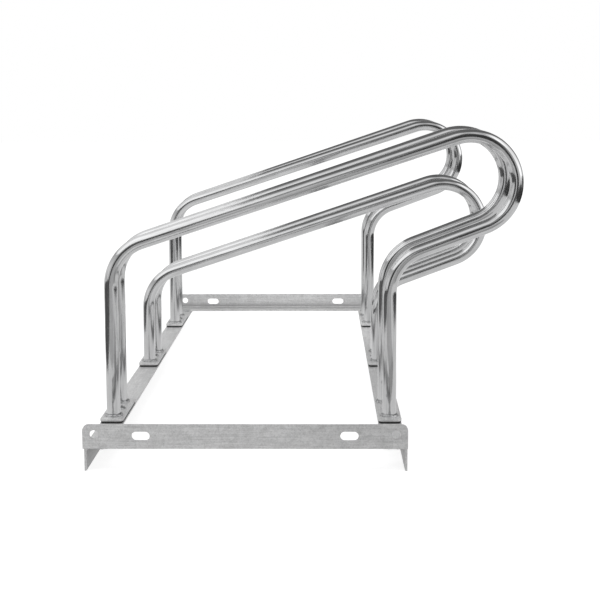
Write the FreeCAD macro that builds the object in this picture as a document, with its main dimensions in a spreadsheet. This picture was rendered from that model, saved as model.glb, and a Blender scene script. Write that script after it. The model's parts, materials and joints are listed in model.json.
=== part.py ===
import FreeCAD, Part
import math
import os

import Sketcher

# Floor bike rack for three wheels, parked from one side, in hot-dip galvanised steel.
#
# Two side rails of equal angle run in depth (Y). Two crossbars of the same angle lie on the ends
# of the rails, their upright flanges at the outer ends. Three pairs of bent round tubes stand on
# foot plates that are bolted to the rails through rubber pads: each pair holds one wheel between
# its two tubes. The front and the rear pair are high and the middle pair is low, so that
# handlebars pass each other.
#
# Frame: millimetres, +Z up, the ground at Z = 0, the rack's front end at the lowest Y, and the
# origin on the ground under the middle of the rack's box.

doc = FreeCAD.newDocument("floor_bike_rack")

# ------------------------------------------------------------------------------- driving sizes

SIZES = {
    # frame of equal angle
    "rack_length": (1030, "front face of the front crossbar to rear face of the rear crossbar"),
    "rack_width": (390, "length of a crossbar, and outer face to outer face of the rails"),
    "flange_width": (30, "outer width of each flange of the angle"),
    "flange_wall": (3, "thickness of each flange of the angle"),
    "flange_root_radius": (3.5, "inner corner of the angle"),
    "flange_toe_radius": (1.5, "rounded inner edge of each flange"),
    "rail_setback": (10, "how far a rail ends short of the crossbar's outer face"),
    "bar_corner_radius": (8, "upper corners of the crossbar's upright flange"),
    # holes in the crossbars, to join racks in a row or fasten them
    "slot_spacing": (250, "middle to middle of the two slots"),
    "slot_length": (22, "slot, end to end"),
    "slot_width": (11, "slot, edge to edge"),
    "slot_height": (15.5, "middle of the slots above the crossbar's underside"),
    "end_hole_diameter": (11, "round hole at each end of a crossbar"),
    "end_hole_inset": (14, "round hole from the crossbar's end"),
    "end_hole_height": (17.3, "middle of the round holes above the crossbar's underside"),
    # wheel places
    "first_station": (178, "middle of the front tube pair from the front face"),
    "last_station": (152, "middle of the rear tube pair from the rear face"),
    "tube_spacing": (76, "middle to middle of the two tubes of a pair, along the rails"),
    # bent tubes
    "tube_diameter": (18, "outer diameter"),
    "tube_wall": (2, "wall of the tube"),
    "bend_radius": (60, "middle line of every bend"),
    "post_height": (171, "straight part of the left post on a high pair, above the foot plate"),
    "arm_length": (422, "straight part of the upper arm"),
    "arm_slope": (18.15, "upper arm, degrees from level"),
    "return_slope": (20.4, "lower arm, degrees from level"),
    "low_pair_drop": (84.5, "how much lower the middle pair stands"),
    "rear_tube_shift_high": (-2.8, "rear tube of a high pair, sideways from its front tube"),
    "rear_tube_shift_low": (1.2, "rear tube of the low pair, sideways from its front tube"),
    "rear_tube_post_less": (0.8, "rear tube of a pair, shorter left post"),
    "rear_tube_more_slope": (0.5, "rear tube of a pair, steeper arms, degrees"),
    # foot plates and the rubber pads under them
    "plate_width": (30, "across the rail"),
    "plate_length": (119, "along the rail"),
    "plate_thickness": (3, "flat bar"),
    "plate_corner_radius": (6, "rounded corners"),
    "plate_edge_radius": (0.6, "rounded upper edge"),
    "pad_thickness": (3, "rubber pad between plate and rail"),
    "pad_inset": (1, "pad short of the plate's edges"),
    "weld_leg": (2.5, "fillet weld round a tube's foot"),
    "frame_weld_leg": (3, "fillet weld between crossbar and rail"),
    "frame_weld_inset": (4, "frame weld short of the rail flange's edges"),
    # carriage bolts with washers and nuts
    "bolt_diameter": (8, "shank, and side of the square neck"),
    "bolt_length": (25, "under the head"),
    "bolt_head_diameter": (20, "mushroom head"),
    "bolt_head_height": (4.5, "mushroom head"),
    "bolt_head_rim": (0.8, "upright edge of the head"),
    "bolt_neck_height": (4, "square neck"),
    "bolt_tip_chamfer": (1, "end of the shank"),
    "neck_clearance": (0.4, "square hole over the square neck"),
    "pad_clearance": (0.7, "pad's round hole over the square neck's corners"),
    "bolt_clearance": (1, "round hole in the rail over the shank"),
    "washer_diameter": (16, "outer diameter"),
    "washer_thickness": (1.6, "flat washer"),
    "washer_clearance": (0.4, "washer's bore over the shank"),
    "nut_width": (13, "across flats"),
    "nut_height": (6.5, "hexagon nut"),
    "thread_clearance": (0.1, "nut's bore over the shank"),
}

sheet = doc.addObject("Spreadsheet::Sheet", "sizes")
for row, (alias, (value, note)) in enumerate(SIZES.items(), start=1):
    sheet.set(f"A{row}", str(value))
    sheet.setAlias(f"A{row}", alias)
    sheet.set(f"B{row}", note)
doc.recompute()

# Lengths that several pieces share, as expressions of the driving sizes.
RAIL_TOP = "sizes.flange_width"
PAD_TOP = f"({RAIL_TOP} + sizes.pad_thickness)"
PLATE_TOP = f"({PAD_TOP} + sizes.plate_thickness)"
RAIL_MIDDLE = "sizes.flange_width / 2"
CURL_REACH = ("(sizes.flange_width / 2 + sizes.bend_radius * 2 + sizes.tube_diameter / 2"
              " + sizes.arm_length * cos(sizes.arm_slope))")
MIDDLE_X = f"({CURL_REACH} / 2)"
MIDDLE_Y = "(sizes.rack_length / 2)"
RAIL_LENGTH = "(sizes.rack_length - 2 * sizes.rail_setback)"
HALF_BAR = "(sizes.rack_width / 2)"
STATION_RUN = "(sizes.rack_length - sizes.first_station - sizes.last_station)"

STATIONS = ("front", "middle", "rear")
LOW_STATION = "middle"
SIDES = ("left", "right")
SAME_PLACE = 0.01  # mm, closer than this two points count as one

nodes = []


def worth(expression):
    """Present value of an expression of the driving sizes."""
    return float(sheet.evalExpression(expression.replace("sizes.", "")))


def station_y(station):
    """Middle of a tube pair, from the rack's front face."""
    share = STATIONS.index(station) / (len(STATIONS) - 1)
    return f"(sizes.first_station + {share} * {STATION_RUN})"


def side_x(side):
    """Middle of a rail's top flange, from the left rail's outer face."""
    if side == "left":
        return f"({RAIL_MIDDLE})"
    return f"(sizes.rack_width - {RAIL_MIDDLE})"


def keep(piece):
    """Takes a finished piece as a node of the rack."""
    nodes.append(piece)
    return piece


def place(piece, x, y, z, axis=FreeCAD.Vector(0, 0, 1), turn=0):
    """Sets a piece in the rack, x and y counted from the front left corner of the frame."""
    piece.Placement = FreeCAD.Placement(FreeCAD.Vector(), FreeCAD.Rotation(axis, turn))
    piece.setExpression("Placement.Base.x", f"{x} - {MIDDLE_X}")
    piece.setExpression("Placement.Base.y", f"{y} - {MIDDLE_Y}")
    piece.setExpression("Placement.Base.z", z)
    return piece


# ------------------------------------------------------------------------------- sketch helpers

def new_body(label):
    body = doc.addObject("PartDesign::Body", label)
    body.Label = label
    return body


def origin_feature(body, role):
    return next(item for item in body.Origin.OriginFeatures if item.Role == role)


def new_sketch(body, name, plane):
    sketch = body.newObject("Sketcher::SketchObject", name)
    sketch.AttachmentSupport = (origin_feature(body, plane), "")
    sketch.MapMode = "FlatFace"
    return sketch


def dimension(sketch, kind, *where, size):
    """Adds a dimension to a sketch and ties it to an expression of the driving sizes."""
    value = worth(size)
    if kind == "Angle":
        value = math.radians(value)
    index = sketch.addConstraint(Sketcher.Constraint(kind, *where, value))
    sketch.setExpression(f"Constraints[{index}]", f"{size} * 1 deg" if kind == "Angle" else size)


def line(sketch, start, end):
    return sketch.addGeometry(Part.LineSegment(FreeCAD.Vector(*start, 0), FreeCAD.Vector(*end, 0)))


def arc(sketch, centre, radius, start_angle, end_angle):
    """Arc of a circle that runs anticlockwise between two angles in degrees."""
    circle = Part.Circle(FreeCAD.Vector(*centre, 0), FreeCAD.Vector(0, 0, 1), radius)
    return sketch.addGeometry(Part.ArcOfCircle(circle, math.radians(start_angle),
                                               math.radians(end_angle)))


def circle(sketch, x, y, diameter):
    """Circle whose middle is at the positive distances x and y, or on an axis where one is None."""
    middle = FreeCAD.Vector(worth(x) if x else 0, worth(y) if y else 0, 0)
    radius = worth(diameter) / 2
    index = sketch.addGeometry(Part.Circle(middle, FreeCAD.Vector(0, 0, 1), radius))
    if x:
        dimension(sketch, "DistanceX", -1, 1, index, 3, size=x)
    else:
        sketch.addConstraint(Sketcher.Constraint("PointOnObject", index, 3, -2))
    if y:
        dimension(sketch, "DistanceY", -1, 1, index, 3, size=y)
    else:
        sketch.addConstraint(Sketcher.Constraint("PointOnObject", index, 3, -1))
    dimension(sketch, "Diameter", index, size=diameter)
    return index


def join(sketch, first, first_end, second, second_end, smooth=False):
    kind = "Tangent" if smooth else "Coincident"
    sketch.addConstraint(Sketcher.Constraint(kind, first, first_end, second, second_end))


def level(sketch, *lines):
    for index in lines:
        sketch.addConstraint(Sketcher.Constraint("Horizontal", index))


def upright(sketch, *lines):
    for index in lines:
        sketch.addConstraint(Sketcher.Constraint("Vertical", index))


def centred_rectangle(sketch, width, height):
    """Rectangle about the sketch's origin."""
    half_x = worth(width) / 2
    half_y = worth(height) / 2
    corners = [(-half_x, -half_y), (half_x, -half_y), (half_x, half_y), (-half_x, half_y)]
    edges = [line(sketch, corners[i], corners[(i + 1) % 4]) for i in range(4)]
    for i in range(4):
        join(sketch, edges[i], 2, edges[(i + 1) % 4], 1)
    level(sketch, edges[0], edges[2])
    upright(sketch, edges[1], edges[3])
    sketch.addConstraint(Sketcher.Constraint("Symmetric", edges[0], 1, edges[1], 2, -1, 1))
    dimension(sketch, "DistanceX", edges[0], 1, edges[0], 2, size=width)
    dimension(sketch, "DistanceY", edges[1], 1, edges[1], 2, size=height)


def pad(body, sketch, length, both_ways=False, reverse=False):
    feature = body.newObject("PartDesign::Pad", f"{sketch.Name}_pad")
    feature.Profile = sketch
    feature.setExpression("Length", length)
    feature.Midplane = both_ways
    feature.Reversed = reverse
    sketch.Visibility = False
    doc.recompute()
    return feature


def pocket(body, sketch, reverse=False):
    """Cuts a sketch right through, and makes sure that it cuts."""
    before = body.Shape.Volume
    feature = body.newObject("PartDesign::Pocket", f"{sketch.Name}_pocket")
    feature.Profile = sketch
    feature.Type = "ThroughAll"
    feature.Reversed = reverse
    doc.recompute()
    if not feature.Shape.Volume < before:
        raise RuntimeError(f"{feature.Name} cuts nothing")
    return feature


# ------------------------------------------------------------------------------- frame of angle

def angle_bar(label, length, both_ways=False):
    """Length of equal angle along X: its outer corner is on the X axis, flanges along +Y and +Z."""
    body = new_body(label)
    profile = new_sketch(body, f"{label}_profile", "YZ_Plane")
    leg = worth("sizes.flange_width")
    wall = worth("sizes.flange_wall")
    root = worth("sizes.flange_root_radius")
    toe = worth("sizes.flange_toe_radius")
    base = line(profile, (0, 0), (leg, 0))
    base_tip = line(profile, (leg, 0), (leg, wall - toe))
    base_toe = arc(profile, (leg - toe, wall - toe), toe, 0, 90)
    base_top = line(profile, (leg - toe, wall), (wall + root, wall))
    inner = arc(profile, (wall + root, wall + root), root, 180, 270)
    side = line(profile, (wall, wall + root), (wall, leg - toe))
    side_toe = arc(profile, (wall - toe, leg - toe), toe, 0, 90)
    side_tip = line(profile, (wall - toe, leg), (0, leg))
    back = line(profile, (0, leg), (0, 0))
    join(profile, base, 2, base_tip, 1)
    join(profile, base_tip, 2, base_toe, 1, smooth=True)
    join(profile, base_toe, 2, base_top, 1, smooth=True)
    join(profile, base_top, 2, inner, 2, smooth=True)
    join(profile, inner, 1, side, 1, smooth=True)
    join(profile, side, 2, side_toe, 1, smooth=True)
    join(profile, side_toe, 2, side_tip, 1, smooth=True)
    join(profile, side_tip, 2, back, 1)
    join(profile, back, 2, base, 1)
    join(profile, base, 1, -1, 1)
    level(profile, base, base_top, side_tip)
    upright(profile, base_tip, side, back)
    dimension(profile, "DistanceX", -1, 1, base, 2, size="sizes.flange_width")
    dimension(profile, "DistanceY", -1, 1, back, 1, size="sizes.flange_width")
    dimension(profile, "DistanceY", -1, 1, base_top, 1, size="sizes.flange_wall")
    dimension(profile, "DistanceX", -1, 1, side, 1, size="sizes.flange_wall")
    dimension(profile, "Radius", inner, size="sizes.flange_root_radius")
    dimension(profile, "Radius", base_toe, size="sizes.flange_toe_radius")
    dimension(profile, "Radius", side_toe, size="sizes.flange_toe_radius")
    pad(body, profile, length, both_ways)
    return body


def side_rail(side):
    """Rail with its flanges outside and on top, and a bolt hole for every foot plate."""
    body = angle_bar(f"side_rail_{side}", RAIL_LENGTH)
    if side == "left":
        first_hole = f"({station_y('front')} - sizes.rail_setback)"
    else:
        first_hole = f"(sizes.rack_length - sizes.rail_setback - {station_y('rear')})"
    holes = new_sketch(body, f"{body.Label}_hole", "XY_Plane")
    circle(holes, first_hole, RAIL_MIDDLE, "sizes.bolt_diameter + sizes.bolt_clearance")
    cut = pocket(body, holes, reverse=True)
    pattern = body.newObject("PartDesign::LinearPattern", f"{body.Label}_holes")
    pattern.Originals = [cut]
    pattern.Direction = (origin_feature(body, "X_Axis"), [""])
    pattern.Occurrences = len(STATIONS)
    pattern.setExpression("Length", STATION_RUN)
    body.Tip = pattern
    if side == "left":
        place(body, "0", "sizes.rail_setback", RAIL_TOP, FreeCAD.Vector(1, 1, 0), 180)
    else:
        place(body, "sizes.rack_width", "sizes.rack_length - sizes.rail_setback", RAIL_TOP,
              FreeCAD.Vector(1, -1, 0), 180)
    return keep(body)


def bar_openings(sketch):
    """Slot, end hole and rounded upper corner at one end of a crossbar's upright flange."""
    height = "sizes.slot_height"
    half_straight = "(sizes.slot_length - sizes.slot_width) / 2"
    slot_x = worth("sizes.slot_spacing") / 2
    slot_z = worth(height)
    radius = worth("sizes.slot_width") / 2
    reach = worth(half_straight)
    inner = arc(sketch, (slot_x - reach, slot_z), radius, 90, 270)
    lower = line(sketch, (slot_x - reach, slot_z - radius), (slot_x + reach, slot_z - radius))
    outer = arc(sketch, (slot_x + reach, slot_z), radius, 270, 450)
    upper = line(sketch, (slot_x + reach, slot_z + radius), (slot_x - reach, slot_z + radius))
    join(sketch, inner, 2, lower, 1, smooth=True)
    join(sketch, lower, 2, outer, 1, smooth=True)
    join(sketch, outer, 2, upper, 1, smooth=True)
    join(sketch, upper, 2, inner, 1, smooth=True)
    level(sketch, lower)
    dimension(sketch, "DistanceX", -1, 1, inner, 3, size=f"sizes.slot_spacing / 2 - {half_straight}")
    dimension(sketch, "DistanceX", -1, 1, outer, 3, size=f"sizes.slot_spacing / 2 + {half_straight}")
    dimension(sketch, "DistanceY", -1, 1, inner, 3, size=height)
    dimension(sketch, "Radius", inner, size="sizes.slot_width / 2")

    circle(sketch, f"{HALF_BAR} - sizes.end_hole_inset", "sizes.end_hole_height",
           "sizes.end_hole_diameter")

    # The waste outside the rounded corner runs past the flange by one wall.
    end = worth(HALF_BAR)
    top = worth("sizes.flange_width")
    past = worth("sizes.flange_wall")
    bend = worth("sizes.bar_corner_radius")
    round_edge = arc(sketch, (end - bend, top - bend), bend, 0, 90)
    inward = line(sketch, (end - bend, top), (end - bend, top + past))
    over = line(sketch, (end - bend, top + past), (end + past, top + past))
    down = line(sketch, (end + past, top + past), (end + past, top - bend))
    back = line(sketch, (end + past, top - bend), (end, top - bend))
    join(sketch, round_edge, 2, inward, 1)
    join(sketch, inward, 2, over, 1)
    join(sketch, over, 2, down, 1)
    join(sketch, down, 2, back, 1)
    join(sketch, back, 2, round_edge, 1)
    upright(sketch, inward, down)
    level(sketch, over, back)
    sketch.addConstraint(Sketcher.Constraint("Vertical", round_edge, 3, inward, 1))
    sketch.addConstraint(Sketcher.Constraint("Horizontal", round_edge, 3, back, 2))
    dimension(sketch, "Radius", round_edge, size="sizes.bar_corner_radius")
    dimension(sketch, "DistanceX", -1, 1, back, 2, size=HALF_BAR)
    dimension(sketch, "DistanceY", -1, 1, inward, 1, size="sizes.flange_width")
    dimension(sketch, "DistanceX", -1, 1, down, 1, size=f"{HALF_BAR} + sizes.flange_wall")
    dimension(sketch, "DistanceY", -1, 1, over, 1, size="sizes.flange_width + sizes.flange_wall")


def crossbar(end):
    """Crossbar on top of the rail ends, its upright flange outermost."""
    body = angle_bar(f"crossbar_{end}", "sizes.rack_width", both_ways=True)
    openings = new_sketch(body, f"{body.Label}_opening", "XZ_Plane")
    bar_openings(openings)
    cut = pocket(body, openings)
    mirrored = body.newObject("PartDesign::Mirrored", f"{body.Label}_openings")
    mirrored.Originals = [cut]
    mirrored.MirrorPlane = (origin_feature(body, "YZ_Plane"), [""])
    body.Tip = mirrored
    if end == "front":
        place(body, HALF_BAR, "0", RAIL_TOP)
    else:
        place(body, HALF_BAR, "sizes.rack_length", RAIL_TOP, FreeCAD.Vector(0, 0, 1), 180)
    return keep(body)


# Turns that bring a bead from behind and above its corner to where it lies.
BEAD_TURNS = {
    ("behind", "above"): (FreeCAD.Vector(0, 0, 1), 0),
    ("before", "above"): (FreeCAD.Vector(0, 0, 1), 180),
    ("behind", "below"): (FreeCAD.Vector(0, 1, 0), 180),
    ("before", "below"): (FreeCAD.Vector(1, 0, 0), 180),
}


def weld_bead(label, x, y, depth, height):
    """Fillet weld along X in a corner at the rail's top, before or behind and above or below it."""
    body = new_body(label)
    profile = new_sketch(body, f"{label}_profile", "YZ_Plane")
    leg = worth("sizes.frame_weld_leg")
    foot = line(profile, (0, 0), (leg, 0))
    slant = line(profile, (leg, 0), (0, leg))
    back = line(profile, (0, leg), (0, 0))
    join(profile, foot, 2, slant, 1)
    join(profile, slant, 2, back, 1)
    join(profile, back, 2, foot, 1)
    join(profile, foot, 1, -1, 1)
    level(profile, foot)
    upright(profile, back)
    dimension(profile, "DistanceX", -1, 1, foot, 2, size="sizes.frame_weld_leg")
    dimension(profile, "DistanceY", -1, 1, back, 1, size="sizes.frame_weld_leg")
    pad(body, profile, "sizes.flange_width - 2 * sizes.frame_weld_inset", both_ways=True)
    return place(body, x, y, RAIL_TOP, *BEAD_TURNS[depth, height])


def frame_welds(end, side):
    """Two beads that hold a crossbar to a rail: along its inner edge, and under its overhang."""
    label = f"frame_welds_{end}_{side}"
    inner_edge = "sizes.flange_width"
    rail_end = "sizes.rail_setback"
    inward, outward = "behind", "before"
    if end == "rear":
        inner_edge = f"(sizes.rack_length - {inner_edge})"
        rail_end = f"(sizes.rack_length - {rail_end})"
        inward, outward = outward, inward
    group = doc.addObject("Part::Compound", label)
    group.Label = label
    group.Links = [
        weld_bead(f"{label}_inner", side_x(side), inner_edge, inward, "above"),
        weld_bead(f"{label}_under", side_x(side), rail_end, outward, "below"),
    ]
    return keep(group)


# ------------------------------------------------------------------------------- bent tubes

def tube_route(sketch, post, slope, return_slope, span):
    """Middle line of a tube: up the left post, along the upper arm, round and down to the right."""
    bend = worth("sizes.bend_radius")
    post_top = worth(post)
    rise = math.radians(worth(slope))
    fall = math.radians(worth(return_slope))
    arm = worth("sizes.arm_length")
    reach = worth(span)
    # Middles of the three bends: the curl's is one arm length along the slope from the first.
    first = (bend, post_top)
    curl = (bend + arm * math.cos(rise), post_top + arm * math.sin(rise))
    arm_start = (first[0] - bend * math.sin(rise), first[1] + bend * math.cos(rise))
    arm_end = (curl[0] - bend * math.sin(rise), curl[1] + bend * math.cos(rise))
    turn_end = (curl[0] + bend * math.sin(fall), curl[1] - bend * math.cos(fall))
    run = (turn_end[0] - (reach + bend * (1 - math.sin(fall)))) / math.cos(fall)
    last_start = (turn_end[0] - run * math.cos(fall), turn_end[1] - run * math.sin(fall))
    last = (reach + bend, last_start[1] - bend * math.cos(fall))

    left_post = line(sketch, (0, 0), (0, post_top))
    first_bend = arc(sketch, first, bend, 90 + math.degrees(rise), 180)
    upper_arm = line(sketch, arm_start, arm_end)
    curl_bend = arc(sketch, curl, bend, math.degrees(fall) - 90, 90 + math.degrees(rise))
    lower_arm = line(sketch, turn_end, last_start)
    last_bend = arc(sketch, last, bend, 90 + math.degrees(fall), 180)
    right_post = line(sketch, (reach, last[1]), (reach, 0))
    join(sketch, left_post, 1, -1, 1)
    join(sketch, left_post, 2, first_bend, 2, smooth=True)
    join(sketch, first_bend, 1, upper_arm, 1, smooth=True)
    join(sketch, upper_arm, 2, curl_bend, 2, smooth=True)
    join(sketch, curl_bend, 1, lower_arm, 1, smooth=True)
    join(sketch, lower_arm, 2, last_bend, 1, smooth=True)
    join(sketch, last_bend, 2, right_post, 1, smooth=True)
    upright(sketch, left_post, right_post)
    sketch.addConstraint(Sketcher.Constraint("PointOnObject", right_post, 2, -1))
    dimension(sketch, "DistanceY", -1, 1, left_post, 2, size=post)
    dimension(sketch, "DistanceX", -1, 1, right_post, 2, size=span)
    dimension(sketch, "Distance", upper_arm, size="sizes.arm_length")
    dimension(sketch, "Angle", -1, 1, upper_arm, 1, size=slope)
    dimension(sketch, "Angle", -1, 1, lower_arm, 2, size=return_slope)
    for bend_arc in (first_bend, curl_bend, last_bend):
        dimension(sketch, "Radius", bend_arc, size="sizes.bend_radius")


def foot_place(station, tube, side):
    """Expressions for the middle of a tube's foot: x from the frame's left face, y from its front."""
    half_gap = "sizes.tube_spacing / 2"
    if tube == "front":
        return side_x(side), f"({station_y(station)} - {half_gap})"
    shift = "rear_tube_shift_low" if station == LOW_STATION else "rear_tube_shift_high"
    return f"({side_x(side)} + sizes.{shift})", f"({station_y(station)} + {half_gap})"


def bent_tube(station, tube):
    """One tube of a pair, from its left foot to its right foot."""
    label = f"{station}_pair_{tube}_tube"
    body = new_body(label)
    post = "sizes.post_height"
    slope = "sizes.arm_slope"
    return_slope = "sizes.return_slope"
    if station == LOW_STATION:
        post = f"{post} - sizes.low_pair_drop"
    if tube == "rear":
        post = f"{post} - sizes.rear_tube_post_less"
        slope = f"({slope} + sizes.rear_tube_more_slope)"
        return_slope = f"({return_slope} + sizes.rear_tube_more_slope)"
    span = f"({side_x('right')} - {side_x('left')})"
    route = new_sketch(body, f"{label}_route", "XZ_Plane")
    tube_route(route, post, slope, return_slope, span)
    section = new_sketch(body, f"{label}_section", "XY_Plane")
    circle(section, None, None, "sizes.tube_diameter")
    circle(section, None, None, "sizes.tube_diameter - 2 * sizes.tube_wall")
    doc.recompute()
    pipe = body.newObject("PartDesign::AdditivePipe", f"{label}_pipe")
    pipe.Profile = section
    pipe.Spine = route
    doc.recompute()
    outer = worth("sizes.tube_diameter") / 2
    inner = outer - worth("sizes.tube_wall")
    expected = math.pi * (outer ** 2 - inner ** 2) * route.Shape.Length
    if abs(body.Shape.Volume / expected - 1) > 0.001:
        raise RuntimeError(f"{label} has the volume {body.Shape.Volume:.0f}, not {expected:.0f}")
    x, y = foot_place(station, tube, "left")
    return keep(place(body, x, y, PLATE_TOP))


# ------------------------------------------------------------------------------- feet

def upright_corners(feature):
    """Names of the upright edges at the outer corners of a flat piece about its own origin."""
    half_width = feature.Shape.BoundBox.XLength / 2
    return [name for name, edge in named_edges(feature)
            if is_upright(edge) and abs(abs(edge.CenterOfMass.x) - half_width) < SAME_PLACE]


def foot_pad(station, side):
    """Rubber pad between a foot plate and its rail, with a round hole for the bolt's neck."""
    label = f"foot_pad_{station}_{side}"
    body = new_body(label)
    outline = new_sketch(body, f"{label}_outline", "XY_Plane")
    centred_rectangle(outline, "sizes.plate_width - 2 * sizes.pad_inset",
                      "sizes.plate_length - 2 * sizes.pad_inset")
    pad(body, outline, "sizes.pad_thickness")
    hole = new_sketch(body, f"{label}_hole", "XY_Plane")
    circle(hole, None, None, "sizes.bolt_diameter * sqrt(2) + sizes.pad_clearance")
    last = pocket(body, hole, reverse=True)
    round_edges(body, last, upright_corners(last), "sizes.plate_corner_radius - sizes.pad_inset")
    return keep(place(body, side_x(side), station_y(station), RAIL_TOP))


def foot_plate(station, side):
    """Plate under the two tube feet, with a square hole for the carriage bolt's neck."""
    label = f"foot_plate_{station}_{side}"
    body = new_body(label)
    outline = new_sketch(body, f"{label}_outline", "XY_Plane")
    centred_rectangle(outline, "sizes.plate_width", "sizes.plate_length")
    pad(body, outline, "sizes.plate_thickness")
    hole = new_sketch(body, f"{label}_neck_hole", "XY_Plane")
    neck = "sizes.bolt_diameter + sizes.neck_clearance"
    centred_rectangle(hole, neck, neck)
    last = pocket(body, hole, reverse=True)
    last = round_edges(body, last, upright_corners(last), "sizes.plate_corner_radius")
    top = worth("sizes.plate_thickness")
    rim = [name for name, edge in named_edges(last)
           if edge.BoundBox.ZMin > top - SAME_PLACE and edge.CenterOfMass.Length > worth(neck)]
    round_edges(body, last, rim, "sizes.plate_edge_radius")
    return keep(place(body, side_x(side), station_y(station), PAD_TOP))


def named_edges(feature):
    return [(f"Edge{i}", edge) for i, edge in enumerate(feature.Shape.Edges, start=1)]


def is_upright(edge):
    box = edge.BoundBox
    return box.XLength < SAME_PLACE and box.YLength < SAME_PLACE


def round_edges(body, feature, names, radius):
    fillet = body.newObject("PartDesign::Fillet", f"{feature.Name}_round")
    fillet.Base = (feature, names)
    fillet.setExpression("Radius", radius)
    doc.recompute()
    return fillet


def foot_welds(station, side):
    """Fillet welds round the two tube feet on one plate."""
    label = f"foot_welds_{station}_{side}"
    rings = []
    for tube in ("front", "rear"):
        bead = doc.addObject("Part::Cone", f"{label}_{tube}_bead")
        bead.setExpression("Radius1", "sizes.tube_diameter / 2 + sizes.weld_leg")
        bead.setExpression("Radius2", "sizes.tube_diameter / 2")
        bead.setExpression("Height", "sizes.weld_leg")
        core = doc.addObject("Part::Cylinder", f"{label}_{tube}_core")
        core.setExpression("Radius", "sizes.tube_diameter / 2")
        core.setExpression("Height", "sizes.weld_leg")
        x, y = foot_place(station, tube, side)
        place(bead, x, y, PLATE_TOP)
        place(core, x, y, PLATE_TOP)
        ring = doc.addObject("Part::Cut", f"{label}_{tube}")
        ring.Base = bead
        ring.Tool = core
        rings.append(ring)
    group = doc.addObject("Part::Compound", label)
    group.Label = label
    group.Links = rings
    return keep(group)


# ------------------------------------------------------------------------------- fasteners

def carriage_bolt(station, side):
    """Mushroom head bolt whose square neck sits in the foot plate; the head's seat is at z = 0."""
    label = f"carriage_bolt_{station}_{side}"
    body = new_body(label)
    half = new_sketch(body, f"{label}_half", "XZ_Plane")
    head = worth("sizes.bolt_head_diameter") / 2
    rim = worth("sizes.bolt_head_rim")
    crown = worth("sizes.bolt_head_height")
    shank = worth("sizes.bolt_diameter") / 2
    tip = worth("sizes.bolt_tip_chamfer")
    length = worth("sizes.bolt_length")
    rise = crown - rim
    dome = (head ** 2 + rise ** 2) / (2 * rise)
    seat = line(half, (shank, 0), (head, 0))
    edge = line(half, (head, 0), (head, rim))
    angle = math.degrees(math.asin(head / dome))
    top = arc(half, (0, crown - dome), dome, 90 - angle, 90)
    middle = line(half, (0, crown), (0, -length))
    end = line(half, (0, -length), (shank - tip, -length))
    chamfer = line(half, (shank - tip, -length), (shank, tip - length))
    side_line = line(half, (shank, tip - length), (shank, 0))
    join(half, seat, 2, edge, 1)
    join(half, edge, 2, top, 1)
    join(half, top, 2, middle, 1)
    join(half, middle, 2, end, 1)
    join(half, end, 2, chamfer, 1)
    join(half, chamfer, 2, side_line, 1)
    join(half, side_line, 2, seat, 1)
    level(half, seat, end)
    upright(half, edge, middle, side_line)
    half.addConstraint(Sketcher.Constraint("PointOnObject", seat, 1, -1))
    half.addConstraint(Sketcher.Constraint("PointOnObject", middle, 1, -2))
    half.addConstraint(Sketcher.Constraint("PointOnObject", top, 3, -2))
    dimension(half, "DistanceX", -1, 1, edge, 1, size="sizes.bolt_head_diameter / 2")
    dimension(half, "DistanceX", -1, 1, seat, 1, size="sizes.bolt_diameter / 2")
    dimension(half, "DistanceY", -1, 1, edge, 2, size="sizes.bolt_head_rim")
    dimension(half, "DistanceY", -1, 1, middle, 1, size="sizes.bolt_head_height")
    dimension(half, "DistanceY", end, 1, -1, 1, size="sizes.bolt_length")
    dimension(half, "DistanceX", end, 2, chamfer, 2, size="sizes.bolt_tip_chamfer")
    dimension(half, "DistanceY", chamfer, 1, chamfer, 2, size="sizes.bolt_tip_chamfer")
    turned = body.newObject("PartDesign::Revolution", f"{label}_turned")
    turned.Profile = half
    turned.ReferenceAxis = (half, ["V_Axis"])
    turned.Angle = 360
    doc.recompute()
    neck = new_sketch(body, f"{label}_neck", "XY_Plane")
    centred_rectangle(neck, "sizes.bolt_diameter", "sizes.bolt_diameter")
    pad(body, neck, "sizes.bolt_neck_height", reverse=True)
    return keep(place(body, side_x(side), station_y(station), PLATE_TOP))


def washer(station, side):
    label = f"washer_{station}_{side}"
    body = new_body(label)
    ring = new_sketch(body, f"{label}_ring", "XY_Plane")
    circle(ring, None, None, "sizes.washer_diameter")
    circle(ring, None, None, "sizes.bolt_diameter + sizes.washer_clearance")
    pad(body, ring, "sizes.washer_thickness")
    under_rail = f"{RAIL_TOP} - sizes.flange_wall - sizes.washer_thickness"
    return keep(place(body, side_x(side), station_y(station), under_rail))


def nut(station, side):
    """Hexagon nut under the washer."""
    label = f"nut_{station}_{side}"
    hexagon = doc.addObject("Part::Prism", f"{label}_hexagon")
    hexagon.Polygon = 6
    hexagon.setExpression("Circumradius", "sizes.nut_width / 2 / cos(30)")
    hexagon.setExpression("Height", "sizes.nut_height")
    bore = doc.addObject("Part::Cylinder", f"{label}_bore")
    bore.setExpression("Radius", "(sizes.bolt_diameter + sizes.thread_clearance) / 2")
    bore.setExpression("Height", "sizes.nut_height")
    under_washer = (f"{RAIL_TOP} - sizes.flange_wall - sizes.washer_thickness"
                    " - sizes.nut_height")
    place(hexagon, side_x(side), station_y(station), under_washer)
    place(bore, side_x(side), station_y(station), under_washer)
    cut = doc.addObject("Part::Cut", label)
    cut.Label = label
    cut.Base = hexagon
    cut.Tool = bore
    return keep(cut)


# ------------------------------------------------------------------------------- the rack

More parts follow.
